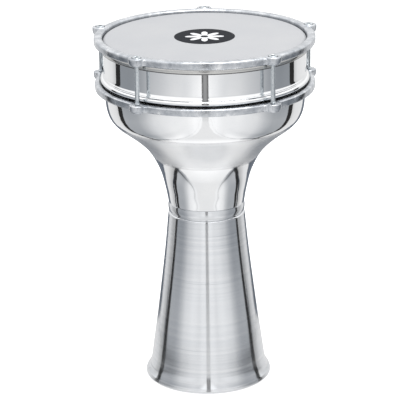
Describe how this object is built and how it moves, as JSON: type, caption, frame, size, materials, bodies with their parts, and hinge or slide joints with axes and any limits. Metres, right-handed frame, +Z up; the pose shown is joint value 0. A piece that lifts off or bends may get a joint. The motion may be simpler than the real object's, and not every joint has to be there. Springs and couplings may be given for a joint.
{
  "type": "goblet drum",
  "caption": "Goblet drum with a spun metal shell, a flared foot and a plastic head pulled down by socket screws between cast rings.",
  "frame": {"origin": "centre of the playing head's top face", "axes": "+Z up along the drum's axis, away from the foot; -Y is the front, and one of the five tension screws is on the +Y side"},
  "size_m": [0.2284, 0.231, 0.3663],
  "materials": {
    "polished_aluminium": "mirror polished after spinning",
    "brushed_aluminium": "satin, with fine turning lines round the axis",
    "cast_aluminium": "tumbled casting, slightly mottled",
    "channel_aluminium": "rolled strip, semi-bright",
    "plated_steel": "bright zinc or nickel plate",
    "head_film": "smooth white polyester with a printed black disc",
    "hoop_resin": "cast resin"
  },
  "bodies": {
    "shell": {"bowl": "polished_aluminium", "head_band": "polished_aluminium", "waist_collar": "brushed_aluminium", "stem": "brushed_aluminium", "head_film": "head_film", "head_hoop": "channel_aluminium", "hoop_resin": "hoop_resin", "lower_ring": "cast_aluminium"},
    "upper_ring": {"upper_ring": "cast_aluminium", "screw_washer_1": "plated_steel", "screw_washer_2": "plated_steel", "screw_washer_3": "plated_steel", "screw_washer_4": "plated_steel", "screw_washer_5": "plated_steel"},
    "screw_1": {"tension_screw_1": "plated_steel"},
    "screw_2": {"tension_screw_2": "plated_steel"},
    "screw_3": {"tension_screw_3": "plated_steel"},
    "screw_4": {"tension_screw_4": "plated_steel"},
    "screw_5": {"tension_screw_5": "plated_steel"}
  },
  "joints": [
    {"name": "ring_lift", "type": "slide", "parent": "shell", "child": "upper_ring", "axis": [0, 0, 1], "range_m": [0, 0.005]},
    {"name": "screw_turn_1", "type": "hinge", "parent": "upper_ring", "child": "screw_1", "pos_m": [0, 0.1115, -0.0012], "axis": [0, 0, 1], "range_deg": [0, 2251]},
    {"name": "screw_turn_2", "type": "hinge", "parent": "upper_ring", "child": "screw_2", "pos_m": [-0.10604, 0.03445, -0.0012], "axis": [0, 0, 1], "range_deg": [0, 2251]},
    {"name": "screw_turn_3", "type": "hinge", "parent": "upper_ring", "child": "screw_3", "pos_m": [-0.06554, -0.0902, -0.0012], "axis": [0, 0, 1], "range_deg": [0, 2251]},
    {"name": "screw_turn_4", "type": "hinge", "parent": "upper_ring", "child": "screw_4", "pos_m": [0.06554, -0.0902, -0.0012], "axis": [0, 0, 1], "range_deg": [0, 2251]},
    {"name": "screw_turn_5", "type": "hinge", "parent": "upper_ring", "child": "screw_5", "pos_m": [0.10604, 0.03445, -0.0012], "axis": [0, 0, 1], "range_deg": [0, 2251]}
  ],
  "couplings": [
    {"joint": "screw_turn_1", "follows": "ring_lift", "rad_per_m": 7854},
    {"joint": "screw_turn_2", "follows": "ring_lift", "rad_per_m": 7854},
    {"joint": "screw_turn_3", "follows": "ring_lift", "rad_per_m": 7854},
    {"joint": "screw_turn_4", "follows": "ring_lift", "rad_per_m": 7854},
    {"joint": "screw_turn_5", "follows": "ring_lift", "rad_per_m": 7854}
  ]
}
